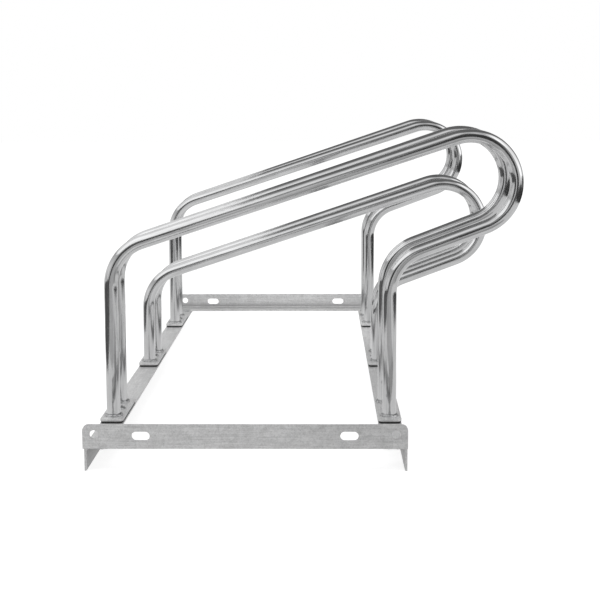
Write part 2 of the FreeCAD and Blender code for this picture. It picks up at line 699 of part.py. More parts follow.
for side in SIDES:
    side_rail(side)
for end in ("front", "rear"):
    crossbar(end)
    for side in SIDES:
        frame_welds(end, side)
for station in STATIONS:
    for tube in ("front", "rear"):
        bent_tube(station, tube)
    for side in SIDES:
        foot_pad(station, side)
        foot_plate(station, side)
        foot_welds(station, side)
        carriage_bolt(station, side)
        washer(station, side)
        nut(station, side)
doc.recompute()

for item in doc.Objects:
    if "Invalid" in item.State or "Error" in item.State:
        raise RuntimeError(f"{item.Label} failed: {item.State}")
for node in nodes:
    if node.Shape.isNull() or not node.Shape.isValid() or not node.Shape.Solids:
        raise RuntimeError(f"{node.Label} has no valid solid")

os.makedirs("parts", exist_ok=True)
for node in nodes:
    node.Shape.exportStep(os.path.join("parts", f"{node.Label}.step"))
    print(f"{node.Label}: {len(node.Shape.Solids)} solid, {node.Shape.Volume:.0f} mm3")
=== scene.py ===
import json
import math

import bmesh
import bpy
from mathutils import Matrix, Vector, noise


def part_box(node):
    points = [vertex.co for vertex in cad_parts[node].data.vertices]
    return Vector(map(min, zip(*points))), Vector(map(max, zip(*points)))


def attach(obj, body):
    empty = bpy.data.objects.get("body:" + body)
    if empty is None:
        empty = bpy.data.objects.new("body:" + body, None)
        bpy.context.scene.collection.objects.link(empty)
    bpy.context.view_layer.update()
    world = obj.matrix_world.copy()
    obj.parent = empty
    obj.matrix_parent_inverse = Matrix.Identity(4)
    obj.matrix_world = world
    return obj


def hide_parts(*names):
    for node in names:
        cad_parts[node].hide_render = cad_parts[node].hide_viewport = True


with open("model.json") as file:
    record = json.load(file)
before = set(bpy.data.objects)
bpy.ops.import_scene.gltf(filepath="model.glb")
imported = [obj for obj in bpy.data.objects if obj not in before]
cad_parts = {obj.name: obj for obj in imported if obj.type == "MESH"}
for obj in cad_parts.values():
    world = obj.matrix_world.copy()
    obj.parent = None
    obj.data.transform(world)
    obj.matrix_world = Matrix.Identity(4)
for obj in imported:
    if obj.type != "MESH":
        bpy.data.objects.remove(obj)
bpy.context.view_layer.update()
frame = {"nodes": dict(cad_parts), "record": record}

bl_info = {
    "name": "Floor bike rack",
    "version": (1, 0, 0),
    "blender": (4, 5, 0),
    "location": "View3D > Sidebar > Bike rack",
    "description": "Dresses the packed floor rack: bent tubes, weld beads, fasteners and the studio",
    "category": "Object",
}

STATIONS = ("front", "middle", "rear")
SIDES = ("left", "right")
ENDS = ("front", "rear")
BODY = "root"
MM = 0.001
FULL_TURN = 2 * math.pi
UP = Vector((0, 0, 1))


# ------------------------------------------------------------------------------- shared helpers

def node_size(node):
    low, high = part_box(node)
    return high - low


def node_middle(node):
    low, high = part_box(node)
    return (low + high) / 2


def plate_top(station, side):
    """Middle of a foot plate's upper face."""
    middle = node_middle(f"foot_plate_{station}_{side}")
    middle.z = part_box(f"foot_plate_{station}_{side}")[1].z
    return middle


def add_piece(name, bm, material, replaced, smooth_below=180):
    """Puts a finished mesh in the scene as a piece that stands for CAD nodes."""
    bmesh.ops.recalc_face_normals(bm, faces=bm.faces)
    for face in bm.faces:
        face.smooth = True
    for edge in bm.edges:
        if len(edge.link_faces) == 2 and edge.calc_face_angle() > math.radians(smooth_below):
            edge.smooth = False
    mesh = bpy.data.meshes.new(name)
    bm.to_mesh(mesh)
    bm.free()
    piece = bpy.data.objects.new(name, mesh)
    bpy.context.scene.collection.objects.link(piece)
    mesh.materials.append(material)
    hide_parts(*replaced)
    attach(piece, BODY)
    return piece


def chain(bm, points, closed=False):
    """Edges through points, as the section of something that is spun or extruded."""
    verts = [bm.verts.new(point) for point in points]
    edges = [bm.edges.new(pair) for pair in zip(verts, verts[1:])]
    if closed:
        edges.append(bm.edges.new((verts[-1], verts[0])))
    return verts, edges


def turned(bm, points, centre, steps, closed=False):
    """Turns a section, given as (radius, height) about a centre, into a full ring or round."""
    places = [centre + Vector((radius, 0, height)) for radius, height in points]
    verts, edges = chain(bm, places, closed)
    bmesh.ops.spin(bm, geom=verts + edges, cent=centre, axis=UP, angle=FULL_TURN, steps=steps,
                   use_merge=True)
    bmesh.ops.remove_doubles(bm, verts=bm.verts, dist=0.002 * MM)


def verts_in(geometry):
    return [item for item in geometry if isinstance(item, bmesh.types.BMVert)]


def edges_in(geometry):
    return [item for item in geometry if isinstance(item, bmesh.types.BMEdge)]


# ------------------------------------------------------------------------------- materials

# Noise scales are in features per metre, bump distances and reaches in metres.

class Wiring:
    """Short way to add and link shader nodes."""

    def __init__(self, tree):
        self.tree = tree

    def node(self, kind, **settings):
        made = self.tree.nodes.new(kind)
        for key, value in settings.items():
            setattr(made, key, value)
        return made

    def feed(self, value, socket):
        """Links a socket, or sets a number."""
        if isinstance(value, (int, float, tuple)):
            socket.default_value = value
        else:
            self.tree.links.new(value, socket)

    def math(self, operation, first, second=0.0):
        made = self.node("ShaderNodeMath", operation=operation)
        self.feed(first, made.inputs[0])
        self.feed(second, made.inputs[1])
        return made.outputs["Value"]

    def spread(self, value, low, high, to_low, to_high, soft=False):
        made = self.node("ShaderNodeMapRange",
                         interpolation_type="SMOOTHSTEP" if soft else "LINEAR")
        for name, number in (("From Min", low), ("From Max", high),
                             ("To Min", to_low), ("To Max", to_high)):
            made.inputs[name].default_value = number
        self.feed(value, made.inputs["Value"])
        return made.outputs["Result"]

    def mix(self, share, first, second, kind="FLOAT"):
        made = self.node("ShaderNodeMix", data_type=kind)
        self.feed(share, made.inputs["Factor"])
        self.feed(first, made.inputs["A"])
        self.feed(second, made.inputs["B"])
        return made.outputs["Result"]

    def rays(self):
        """Which rays ask: the camera's, those through glass and those off something shiny."""
        path = self.node("ShaderNodeLightPath")
        direct = self.math("MAXIMUM", path.outputs["Is Camera Ray"],
                           path.outputs["Is Transmission Ray"])
        return direct, path.outputs["Is Glossy Ray"]


class Finish(Wiring):
    """A node material on the Principled shader."""

    def __init__(self, name):
        self.material = bpy.data.materials.new(name)
        self.material.use_nodes = True
        super().__init__(self.material.node_tree)
        self.shader = self.tree.nodes["Principled BSDF"]

    def coordinates(self, attribute=None):
        if attribute:
            return self.node("ShaderNodeAttribute", attribute_name=attribute).outputs["Vector"]
        return self.node("ShaderNodeTexCoord").outputs["Object"]

    def stretched(self, vector, scale):
        mapping = self.node("ShaderNodeMapping")
        mapping.inputs["Scale"].default_value = scale
        self.feed(vector, mapping.inputs["Vector"])
        return mapping.outputs["Vector"]

    def noise(self, vector, scale, detail=3.0, roughness=0.5, distortion=0.0):
        made = self.node("ShaderNodeTexNoise")
        made.inputs["Scale"].default_value = scale
        made.inputs["Detail"].default_value = detail
        made.inputs["Roughness"].default_value = roughness
        made.inputs["Distortion"].default_value = distortion
        self.feed(vector, made.inputs["Vector"])
        return made.outputs["Fac"]

    def cells(self, vector, scale, result="Color"):
        made = self.node("ShaderNodeTexVoronoi")
        made.inputs["Scale"].default_value = scale
        self.feed(vector, made.inputs["Vector"])
        if result == "Distance":
            return made.outputs["Distance"]
        parts = self.node("ShaderNodeSeparateColor")
        self.feed(made.outputs["Color"], parts.inputs["Color"])
        return parts.outputs["Red"]

    def tint(self, share, dark, light):
        """Colour between two, as share goes from 0 to 1."""
        return self.mix(share, (*dark, 1), (*light, 1), kind="RGBA")

    def paint(self, colour):
        self.feed(colour, self.shader.inputs["Base Color"])

    def roughen(self, roughness):
        self.feed(roughness, self.shader.inputs["Roughness"])

    def metal(self, share):
        self.shader.inputs["Metallic"].default_value = share

    def bump(self, height, distance, onto=None):
        made = self.node("ShaderNodeBump")
        made.inputs["Distance"].default_value = distance
        self.feed(height, made.inputs["Height"])
        if onto is not None:
            self.feed(onto, made.inputs["Normal"])
        return made.outputs["Normal"]

    def soft_edges(self, radius):
        made = self.node("ShaderNodeBevel", samples=6)
        made.inputs["Radius"].default_value = radius
        return made.outputs["Normal"]

    def corner_shade_mask(self, reach):
        """Painted shade: falls from 1 on open faces to 0 in inner corners, found by ambient
        occlusion.
        """
        made = self.node("ShaderNodeAmbientOcclusion", samples=6, only_local=True)
        made.inputs["Distance"].default_value = reach
        return self.spread(made.outputs["AO"], 0.52, 0.97, 0, 1)

    def shape(self, normal):
        self.feed(normal, self.shader.inputs["Normal"])


def scaled(colour, factor):
    return tuple(min(1.0, channel * factor) for channel in colour)


def tube_finish(settings):
    """Bright drawn zinc: long fine draw lines, a soft mottle and a few dull specks."""
    finish = Finish("tube_zinc")
    run = finish.coordinates("straight")
    lines = finish.noise(finish.stretched(run, (1, 1, 0.012)), 900, detail=5, roughness=0.6)
    mottle = finish.noise(finish.stretched(run, (1, 1, 0.2)), 140, detail=5, roughness=0.6)
    colour = settings.tube_colour
    share = finish.spread(finish.math("ADD", lines, mottle), 0.7, 1.3, 0, 1)
    zinc = finish.tint(share, scaled(colour, 0.82), scaled(colour, 1.12))
    speck = finish.spread(finish.cells(finish.stretched(run, (1, 1, 0.6)), 62, "Distance"),
                          0.05, 0.12, 1, 0)
    rare = finish.spread(finish.noise(run, 23, detail=1), 0.62, 0.68, 0, 0.65)
    blemish = finish.math("MULTIPLY", speck, rare)
    finish.paint(finish.mix(blemish, zinc, (*scaled(colour, 0.25), 1), kind="RGBA"))
    finish.roughen(finish.spread(mottle, 0.3, 0.7, 0.05, 0.14))
    finish.metal(1.0)
    ridges = finish.bump(lines, 0.00008)
    waves = finish.noise(finish.stretched(run, (1, 1, 0.07)), 60, detail=2)
    finish.shape(finish.bump(waves, 0.0003, onto=ridges))
    return finish.material


def frame_finish(settings, along, reach=1):
    """Hot-dip galvanised angle and flat bar: satin grey, a fine mottle and rolled streaks.

    The streaks run the way in which along is small, and reach lengthens the painted shade in the
    inner corners.
    """
    finish = Finish("frame_zinc")
    place = finish.coordinates()
    grain = finish.noise(place, 640, detail=6, roughness=0.72)
    clouds = finish.noise(place, 85, detail=5, roughness=0.62, distortion=0.5)
    streaks = finish.noise(finish.stretched(place, along), 520, detail=4, roughness=0.65)
    spangle = finish.cells(place, 330)
    mix = finish.math("ADD", finish.math("ADD", grain, finish.math("MULTIPLY", clouds, 0.6)),
                      finish.math("ADD", finish.math("MULTIPLY", streaks, 0.9),
                                  finish.spread(spangle, 0, 1, -0.08, 0.08)))
    share = finish.spread(mix, 1.0, 1.5, 0, 1)
    colour = settings.frame_colour
    zinc = finish.tint(share, scaled(colour, 0.78), scaled(colour, 1.14))
    speck = finish.spread(grain, 0.31, 0.41, 0.6, 0)
    # Dull grey of the dark specks, and also of the painted shade in inner corners.
    speck_and_shade_grey = (*scaled(colour, 0.45), 1)
    # Painted shade: the frame turns dull grey towards its inner corners, where ambient occlusion
    # finds them.
    unshaded_share = finish.corner_shade_mask(settings.corner_shade_reach * reach)
    finish.paint(finish.mix(unshaded_share, speck_and_shade_grey, finish.mix(speck, zinc, speck_and_shade_grey, kind="RGBA"),
                            kind="RGBA"))
    finish.roughen(finish.spread(clouds, 0.3, 0.7, 0.36, 0.52))
    finish.metal(0.45)
    finish.shape(finish.bump(mix, 0.00012, onto=finish.soft_edges(settings.edge_radius)))
    return finish.material


def weld_finish(settings):
    """Zinc over a weld bead: blotched and rough."""
    finish = Finish("weld_zinc")
    blotch = finish.noise(finish.coordinates(), 420, detail=5, roughness=0.7)
    colour = settings.weld_colour
    share = finish.spread(blotch, 0.36, 0.62, 0, 1)
    finish.paint(finish.tint(share, scaled(colour, 0.4), scaled(colour, 1.3)))
    finish.roughen(finish.spread(blotch, 0.3, 0.7, 0.22, 0.45))
    finish.metal(0.85)
    finish.shape(finish.bump(blotch, 0.0004))
    return finish.material


def fastener_finish(settings):
    """Zinc-plated bolts, washers and nuts."""
    finish = Finish("fastener_zinc")
    film = finish.noise(finish.coordinates(), 260, detail=4, roughness=0.6)
    colour = settings.fastener_colour
    share = finish.spread(film, 0.3, 0.7, 0, 1)
    finish.paint(finish.tint(share, scaled(colour, 0.82), scaled(colour, 1.1)))
    finish.roughen(finish.spread(film, 0.3, 0.7, 0.24, 0.4))
    finish.metal(0.95)
    finish.shape(finish.bump(film, 0.00006))
    return finish.material


def under_plate_black_finish(settings):
    """Black matt sheet under the foot plates, which draws the black line beneath them, with a fine
    grain and a little dust.
    """
    finish = Finish("pad_rubber")
    place = finish.coordinates()
    grain = finish.noise(place, 1400, detail=3)
    dust = finish.noise(place, 90, detail=5, roughness=0.7)
    colour = settings.under_plate_black
    finish.paint(finish.tint(finish.spread(dust, 0.4, 0.7, 0, 1), colour, scaled(colour, 2.2)))
    finish.roughen(finish.spread(dust, 0.3, 0.7, 0.62, 0.82))
    finish.shape(finish.bump(grain, 0.0001))
    return finish.material


STREAKS_ALONG_X = (0.05, 1, 1)
STREAKS_ALONG_Y = (1, 0.05, 1)
FINISHES = {"tube_zinc": tube_finish, "frame_zinc": frame_finish, "weld_zinc": weld_finish,
            "fastener_zinc": fastener_finish, "pad_rubber": under_plate_black_finish}


def finish_of(slot, variant="", **options):
    """The material of a slot, made when it is first asked for."""
    name = f"finish_{slot}{variant}"
    made = bpy.data.materials.get(name)
    if made is None:
        made = FINISHES[slot](bpy.context.scene.rack_finish, **options)
        made.name = name
    return made


# ------------------------------------------------------------------------------- bent tubes

class TubeRun:
    """A tube as it goes through the bender: rings added one by one along its middle line."""

    def __init__(self, bm, foot, settings):
        self.bm = bm
        self.settings = settings
        self.middle = Vector(foot)
        self.heading = Vector(UP)
        self.length = 0.0
        self.rings = []
        self.bends = []
        self.straight = bm.verts.layers.float_vector.new("straight")
        ring = bmesh.ops.create_circle(bm, cap_ends=False, segments=settings.sides,
                                       radius=settings.diameter / 2,
                                       matrix=Matrix.Translation(self.middle))
        self.edges = list({edge for vert in ring["verts"] for edge in vert.link_edges})
        self.note(ring["verts"])

    def outward(self):
        """In the bend plane and square to the tube: the outer side of a bend to the right."""
        return Vector((-self.heading.z, 0, self.heading.x))

    def note(self, verts, bent=0.0):
        outward = self.outward()
        for vert in verts:
            arm = vert.co - self.middle
            vert[self.straight] = Vector((arm.y, arm.dot(outward), self.length))
        self.rings.append((verts, Vector(self.middle), outward, self.length, bent))

    def forward(self, length):
        steps = max(1, round(length / self.settings.ring_step))
        for _ in range(steps):
            made = bmesh.ops.extrude_edge_only(self.bm, edges=self.edges)["geom"]
            verts = verts_in(made)
            bmesh.ops.translate(self.bm, verts=verts, vec=self.heading * length / steps)
            self.edges = [edge for edge in edges_in(made)
                          if all(vert in verts for vert in edge.verts)]
            self.middle = self.middle + self.heading * length / steps
            self.length += length / steps
            self.note(verts)

    def turn(self, angle):
        """Bends the heading clockwise as seen from the front, or back for an angle below 0."""
        radius = self.settings.bend_radius
        centre = self.middle - self.outward() * math.copysign(radius, angle)
        steps = round(abs(angle) * radius / self.settings.ring_step)
        ease = self.settings.bend_ease / self.settings.ring_step
        part = angle / steps
        self.bends.append((self.length, abs(angle) * radius, math.copysign(1, angle)))
        for step in range(1, steps + 1):
            made = bmesh.ops.spin(self.bm, geom=self.edges, cent=centre, axis=(0, 1, 0),
                                  angle=part, steps=1, use_merge=False)["geom_last"]
            self.edges = edges_in(made)
            turn = Matrix.Rotation(part, 3, "Y")
            self.middle = centre + turn @ (self.middle - centre)
            self.heading = turn @ self.heading
            self.length += abs(part) * radius
            self.note(verts_in(made), min(1.0, step / ease, (steps - step) / ease))

    def clamp_marks(self):
        """Places along the tube, and the inner side there, where the bender pinched it."""
        for bend, share in self.settings.mark_places():
            start, length, hand = self.bends[bend]
            yield start + share * length, -hand

    def settle(self):
        """Flattens the bends a little and presses the bender's marks into their inner sides."""
        settings = self.settings
        marks = list(self.clamp_marks())
        for verts, middle, outward, length, bent in self.rings:
            flat = settings.bend_flatness * bent
            for vert in verts:
                arm = vert.co - middle
                out = arm.dot(outward)
                shift = outward * (-flat * out) + Vector((0, flat * arm.y / 2, 0))
                for place, inner in marks:
                    near = math.exp(-((length - place) / settings.mark_length) ** 2)
                    facing = max(0.0, inner * out / arm.length)
                    ripple = 1 + 0.5 * math.cos((length - place) / settings.mark_length * 3)
                    shift -= arm.normalized() * (settings.mark_depth * near * facing * ripple)
                vert.co += shift


def tube_moves(settings, station, tube, span):
    """Straights and bends of a tube, from its left foot to its right foot."""
    post = settings.post_height
    rise, fall = settings.arm_slope, settings.return_slope
    if station == "middle":
        post -= settings.low_pair_drop
    if tube == "rear":
        post -= settings.rear_post_less
        rise += settings.rear_more_slope
        fall += settings.rear_more_slope
    bend, arm = settings.bend_radius, settings.arm_length
    curl_x = bend + arm * math.cos(rise)
    curl_z = post + arm * math.sin(rise)
    turn_end_x = curl_x + bend * math.sin(fall)
    turn_end_z = curl_z - bend * math.cos(fall)
    lower = (turn_end_x - span - bend * (1 - math.sin(fall))) / math.cos(fall)
    last_post = turn_end_z - lower * math.sin(fall) - bend * math.cos(fall)
    return [("forward", post), ("turn", math.pi / 2 - rise), ("forward", arm),
            ("turn", math.pi + rise - fall), ("forward", lower),
            ("turn", fall - math.pi / 2), ("forward", last_post)]


class RackTubes(bpy.types.PropertyGroup):
    diameter: bpy.props.FloatProperty(
        name="Diameter", description="Outer diameter of the tubes",
        default=node_size("front_pair_front_tube").y, unit="LENGTH")
    wall: bpy.props.FloatProperty(
        name="Wall", description="Thickness of the tube's wall", default=2 * MM, unit="LENGTH")
    bend_radius: bpy.props.FloatProperty(
        name="Bend radius", description="Middle line of every bend", default=60 * MM,
        unit="LENGTH")
    post_height: bpy.props.FloatProperty(
        name="Post height", description="Straight part of the left post on a high pair",
        default=171 * MM, unit="LENGTH")
    arm_length: bpy.props.FloatProperty(
        name="Arm length", description="Straight part of the upper arm", default=422 * MM,
        unit="LENGTH")
    arm_slope: bpy.props.FloatProperty(
        name="Arm slope", description="Upper arm, from level", default=math.radians(18.15),
        subtype="ANGLE")
    return_slope: bpy.props.FloatProperty(
        name="Return slope", description="Lower arm, from level", default=math.radians(20.4),
        subtype="ANGLE")
    low_pair_drop: bpy.props.FloatProperty(
        name="Low pair drop", description="How much lower the middle pair stands",
        default=84.5 * MM, unit="LENGTH")
    rear_post_less: bpy.props.FloatProperty(
        name="Rear post less", description="Rear tube of a pair, shorter left post",
        default=0.8 * MM, unit="LENGTH")
    rear_more_slope: bpy.props.FloatProperty(
        name="Rear more slope", description="Rear tube of a pair, steeper arms",
        default=math.radians(0.5), subtype="ANGLE")
    bend_ease: bpy.props.FloatProperty(
        name="Bend ease", description="Length over which a bend's flattening sets in",
        default=22 * MM, unit="LENGTH")
    bend_flatness: bpy.props.FloatProperty(
        name="Bend flatness", description="Share of the diameter that a bend loses",
        default=0.03, min=0, max=0.1)
    mark_depth: bpy.props.FloatProperty(
        name="Mark depth", description="Depth of the bender's marks", default=0.05 * MM,
        unit="LENGTH")
    mark_length: bpy.props.FloatProperty(
        name="Mark length", description="Half length of the bender's marks", default=5 * MM,
        unit="LENGTH")
    curl_mark: bpy.props.FloatProperty(
        name="Curl mark", description="How far round the curl its mark lies", default=0.49,
        subtype="FACTOR", min=0, max=1)
    sides: bpy.props.IntProperty(
        name="Sides", description="Faces round a tube", default=48, min=12, max=96)
    ring_step: bpy.props.FloatProperty(
        name="Ring step", description="Distance between rings along a tube", default=3.5 * MM,
        unit="LENGTH")

    def mark_places(self):
        """The bend of each mark, and how far along it: at the first bend's start, in the curl."""
        return (0, 0.0), (1, self.curl_mark)


class RACK_OT_tubes(bpy.types.Operator):
    """Bend the six tubes of the three wheel places"""
    bl_idname = "rack.tubes"
    bl_label = "Bent tubes"

    def execute(self, context):
        settings = context.scene.rack_tubes
        radius = settings.diameter / 2
        span = node_middle("foot_plate_front_right").x - node_middle("foot_plate_front_left").x
        for station in STATIONS:
            for tube in ENDS:
                node = f"{station}_pair_{tube}_tube"
                low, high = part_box(node)
                bm = bmesh.new()
                run = TubeRun(bm, (low.x + radius, (low.y + high.y) / 2, low.z), settings)
                for move, amount in tube_moves(settings, station, tube, span):
                    getattr(run, move)(amount)
                run.settle()
                piece = add_piece(f"{node}_bent", bm, finish_of("tube_zinc"), [node])
                wall = piece.modifiers.new("wall", "SOLIDIFY")
                wall.thickness = settings.wall
                wall.offset = -1
        return {"FINISHED"}


# ------------------------------------------------------------------------------- weld beads

class RackWelds(bpy.types.PropertyGroup):
    foot_leg: bpy.props.FloatProperty(
        name="Foot bead", description="Leg of the bead round a tube's foot", default=2.8 * MM,
        unit="LENGTH")
    bite: bpy.props.FloatProperty(
        name="Bite", description="How far a bead reaches into the metal", default=0.2 * MM,
        unit="LENGTH")
    unevenness: bpy.props.FloatProperty(
        name="Unevenness", description="Share of the leg by which a bead swells and shrinks",
        default=0.3, min=0, max=1)
    ripple: bpy.props.FloatProperty(
        name="Ripple", description="Height of the ripples on a bead", default=0.25 * MM,
        unit="LENGTH")
    ripple_pitch: bpy.props.FloatProperty(
        name="Ripple pitch", description="Distance between two ripples", default=2.2 * MM,
        unit="LENGTH")


def bead_swell(settings, leg, place, travel):
    """How far the bead's face stands out at a place, travel being the way along the bead."""
    slow = noise.noise(place * 110) * settings.unevenness * leg
    fine = noise.noise(place * 700) * settings.ripple
    wave = travel / settings.ripple_pitch + noise.noise(place * 60)
    return slow + fine + settings.ripple * abs(math.sin(math.pi * wave))


def bead_section(leg, bite, parts=6):
    """Closed section in a corner at the origin: a quarter round between two legs."""
    face = [(leg * math.cos(k / parts * math.pi / 2), leg * math.sin(k / parts * math.pi / 2))
            for k in range(parts + 1)]
    return [(-bite, -bite), (leg, -bite), *face, (-bite, leg)]


def ring_bead(bm, centre, radius, settings):
    """Bead round the foot of a tube."""
    leg = settings.foot_leg
    bead = bmesh.new()
    section = [(radius + out, height) for out, height in bead_section(leg, settings.bite)]
    turned(bead, section, centre, steps=120, closed=True)
    for vert in bead.verts:
        arm = vert.co - centre
        around = Vector((arm.x, arm.y, 0))
        out = around.length - radius
        if out < 0 or arm.z < -settings.bite / 2:
            continue
        travel = math.atan2(arm.y, arm.x) * radius
        away = (around.normalized() * out + UP * arm.z).normalized()
        vert.co += away * bead_swell(settings, leg, vert.co, travel)
    merge_into(bm, bead)


def straight_bead(bm, corner, side_y, side_z, length, leg, settings):
    """Bead along X in a corner between two flat faces."""
    bead = bmesh.new()
    start = corner - Vector((length / 2, 0, 0))
    section = [start + Vector((0, out * side_y, height * side_z))
               for out, height in bead_section(leg, settings.bite)]
    verts, edges = chain(bead, section, closed=True)
    bmesh.ops.edgeloop_fill(bead, edges=edges)
    steps = round(length / (settings.ripple_pitch / 4))
    rings = [verts]
    for _ in range(steps):
        made = bmesh.ops.extrude_edge_only(bead, edges=edges)["geom"]
        verts = verts_in(made)
        bmesh.ops.translate(bead, verts=verts, vec=(length / steps, 0, 0))
        edges = [edge for edge in edges_in(made) if all(vert in verts for vert in edge.verts)]
        rings.append(verts)
    bmesh.ops.edgeloop_fill(bead, edges=edges)
    for index, ring in enumerate(rings):
        end = min(index, steps - index) * length / steps
        taper = min(1.0, math.sqrt((end + settings.ripple) / leg))
        for vert in ring:
            arm = vert.co - corner
            arm.x = 0
            if min(arm.y * side_y, arm.z * side_z) < -settings.bite / 2:
                continue
            swell = bead_swell(settings, leg, vert.co, vert.co.x)
            vert.co += arm * (taper - 1) + arm.normalized() * swell * taper
    merge_into(bm, bead)


def merge_into(bm, part):
    """Adds one bmesh to another and frees it."""
    mesh = bpy.data.meshes.new("part")
    part.to_mesh(mesh)
    part.free()
    bm.from_mesh(mesh)
    bpy.data.meshes.remove(mesh)


class RACK_OT_welds(bpy.types.Operator):
    """Lay the beads round the tube feet and between crossbars and rails"""
    bl_idname = "rack.welds"
    bl_label = "Weld beads"

    def execute(self, context):
        settings = context.scene.rack_welds
        tubes = context.scene.rack_tubes
        for station in STATIONS:
            for side in SIDES:
                self.foot_beads(station, side, tubes.diameter / 2, settings)
        for end in ENDS:
            for side in SIDES:
                self.frame_beads(end, side, settings)
        return {"FINISHED"}

    def foot_beads(self, station, side, radius, settings):
        node = f"foot_welds_{station}_{side}"
        low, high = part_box(node)
        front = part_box(f"{station}_pair_front_tube")[0].x + radius
        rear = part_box(f"{station}_pair_rear_tube")[0].x + radius
        shift = rear - front
        front_x = plate_top(station, side).x
        cad_leg = (high.y - low.y - 2 * radius
                   - (node_middle(f"{station}_pair_rear_tube").y
                      - node_middle(f"{station}_pair_front_tube").y)) / 2
        bm = bmesh.new()
        for x, y in ((front_x, low.y + radius + cad_leg),
                     (front_x + shift, high.y - radius - cad_leg)):
            ring_bead(bm, Vector((x, y, low.z)), radius, settings)
        add_piece(f"{node}_bead", bm, finish_of("weld_zinc"), [node])

    def frame_beads(self, end, side, settings):
        node = f"frame_welds_{end}_{side}"
        low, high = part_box(node)
        leg = (high.z - low.z) / 2
        middle = node_middle(node)
        inward = 1 if end == "front" else -1
        inner_y = high.y - leg if end == "front" else low.y + leg
        under_y = low.y + leg if end == "front" else high.y - leg
        bm = bmesh.new()
        length = high.x - low.x
        straight_bead(bm, Vector((middle.x, inner_y, middle.z)), inward, 1, length, leg, settings)
        straight_bead(bm, Vector((middle.x, under_y, middle.z)), -inward, -1, length, leg,
                      settings)
        add_piece(f"{node}_bead", bm, finish_of("weld_zinc"), [node])


# ------------------------------------------------------------------------------- fasteners

class RackBolts(bpy.types.PropertyGroup):
    shank: bpy.props.FloatProperty(
        name="Shank", description="Outer diameter of the thread", default=8 * MM, unit="LENGTH")
    pitch: bpy.props.FloatProperty(
        name="Pitch", description="Thread pitch", default=1.25 * MM, unit="LENGTH")
    thread_depth: bpy.props.FloatProperty(
        name="Thread depth", description="From crest to root", default=0.75 * MM, unit="LENGTH")
    head_rim: bpy.props.FloatProperty(
        name="Head rim", description="Upright edge of the mushroom head", default=0.8 * MM,
        unit="LENGTH")
    neck_height: bpy.props.FloatProperty(
        name="Neck height", description="Square neck under the head", default=4 * MM,
        unit="LENGTH")
    edge: bpy.props.FloatProperty(
        name="Edge", description="Rounding of the head, neck and nut", default=0.3 * MM,
        unit="LENGTH")
    tip: bpy.props.FloatProperty(
        name="Tip", description="Chamfer at the end of the shank", default=1 * MM,
        unit="LENGTH")


def bolt_head_and_core(bm, seat, head, crown, length, settings):
    """Mushroom head and the shank's core, turned about the bolt's axis."""
    rise = crown - settings.head_rim
    dome = (head ** 2 + rise ** 2) / (2 * rise)
    reach = math.asin((head - settings.edge / 2) / dome)
    parts = 9
    top = [(dome * math.sin(k / parts * reach), crown - dome + dome * math.cos(k / parts * reach))
           for k in range(parts + 1)]
    root = settings.shank / 2 - settings.thread_depth
    section = [*top, (head, settings.head_rim - settings.edge / 2), (head, settings.edge),
               (head - settings.edge, 0), (settings.shank / 2, 0),
               (settings.shank / 2, -settings.neck_height),
               (root, -settings.neck_height - settings.thread_depth),
               (root, -length + settings.tip / 2), (root - settings.tip / 2, -length),
               (0, -length)]
    turned(bm, section, seat, steps=48)


def bolt_neck(bm, seat, settings):
    neck = bmesh.new()
    size = Vector((settings.shank, settings.shank, settings.neck_height))
    place = Matrix.Translation(seat - UP * settings.neck_height / 2)
    bmesh.ops.create_cube(neck, size=1, matrix=place @ Matrix.Diagonal((*size, 1)))
    bmesh.ops.bevel(neck, geom=neck.edges[:], offset=settings.edge, affect="EDGES", segments=2,
                    profile=0.5, material=-1)
    merge_into(bm, neck)


def bolt_thread(bm, seat, length, settings):
    """One ridge wound down the shank."""
    thread = bmesh.new()
    steps_per_turn = 20
    start = settings.neck_height + settings.thread_depth
    turns = (length - settings.tip - start) / settings.pitch - 1
    steps = int(turns * steps_per_turn)
    root = settings.shank / 2 - settings.thread_depth * 1.1
    crest = settings.shank / 2
    ridge = [(root, -start), (crest, -start - settings.pitch * 0.45),
             (crest, -start - settings.pitch * 0.55), (root, -start - settings.pitch)]
    verts, edges = chain(thread, [seat + Vector((out, 0, height)) for out, height in ridge],
                         closed=True)
    bmesh.ops.edgeloop_fill(thread, edges=edges)
    last = bmesh.ops.spin(thread, geom=verts + edges, cent=seat, axis=UP,
                          dvec=(0, 0, -settings.pitch / steps_per_turn),
                          angle=FULL_TURN * steps / steps_per_turn, steps=steps,
                          use_merge=False)["geom_last"]
    bmesh.ops.edgeloop_fill(thread, edges=edges_in(last))
    bmesh.ops.recalc_face_normals(thread, faces=thread.faces)
    merge_into(bm, thread)


def hexagon_nut(bm, middle, across, height, bore, settings):
    """Chamfered ring with six flats cut on it."""
    corner = across / 2 / math.cos(math.pi / 6)
    chamfer = corner - across / 2
    half = height / 2
    section = [(bore, -half + settings.edge), (bore + settings.edge, -half),
               (across / 2 - settings.edge / 2, -half), (corner, -half + chamfer * 0.7),
               (corner, half - chamfer * 0.7), (across / 2 - settings.edge / 2, half),
               (bore + settings.edge, half), (bore, half - settings.edge)]
    turned(bm, section, middle, steps=72, closed=True)
    for side in range(6):
        angle = math.pi / 6 + side * math.pi / 3
        away = Vector((math.cos(angle), math.sin(angle), 0))
        cut = bmesh.ops.bisect_plane(bm, geom=bm.verts[:] + bm.edges[:] + bm.faces[:],
                                     plane_co=middle + away * across / 2, plane_no=away,
                                     clear_outer=True)["geom_cut"]
        bmesh.ops.edgeloop_fill(bm, edges=edges_in(cut))


